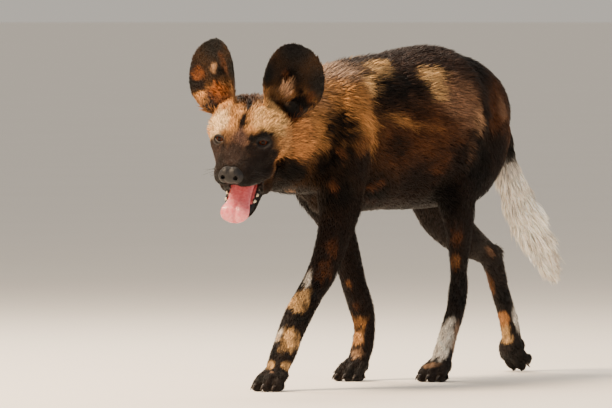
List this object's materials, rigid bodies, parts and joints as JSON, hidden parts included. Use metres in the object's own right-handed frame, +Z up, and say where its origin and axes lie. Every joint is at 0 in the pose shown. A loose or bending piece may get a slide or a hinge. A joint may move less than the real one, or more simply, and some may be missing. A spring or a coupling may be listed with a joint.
{
  "type": "african wild dog",
  "caption": "Life-size African wild dog in a low-headed walk, mouth open and tongue out, with big round cupped ears and a bushy pale tail; a still model in solid named parts.",
  "frame": {"origin": "centre of the model's bounding box at floor level, under the soles", "axes": "+X towards the dog's front, +Y to its left, +Z up"},
  "size_m": [1.0466, 0.2788, 0.6125],
  "materials": {
    "dark_coat": "short shaggy fur, black-brown with ochre and cream patches",
    "ochre_coat": "short fur, ochre and tan with a black face mask",
    "pale_coat": "long bushy fur, black at the root and white to cream beyond",
    "ear_coat": "very short black fur with ochre patches and pale inner hair",
    "leg_coat": "very short fur, dark brown with white, cream and tan patches",
    "nose_leather": "moist, pebbled, black",
    "tongue": "wet, pink",
    "eye": "wet and clear over a dark amber iris"
  },
  "bodies": {
    "root": {"torso": "dark_coat", "neck": "ochre_coat", "head": "ochre_coat", "lower_jaw": "dark_coat", "tongue": "tongue", "nose": "nose_leather", "ear_left": "ear_coat", "ear_right": "ear_coat", "eye_left": "eye", "eye_right": "eye", "tail": "pale_coat", "foreleg_left": "leg_coat", "forepaw_left": "leg_coat", "foreleg_right": "leg_coat", "forepaw_right": "leg_coat", "hindleg_left": "leg_coat", "hindpaw_left": "leg_coat", "hindleg_right": "leg_coat", "hindpaw_right": "leg_coat"}
  },
  "joints": []
}
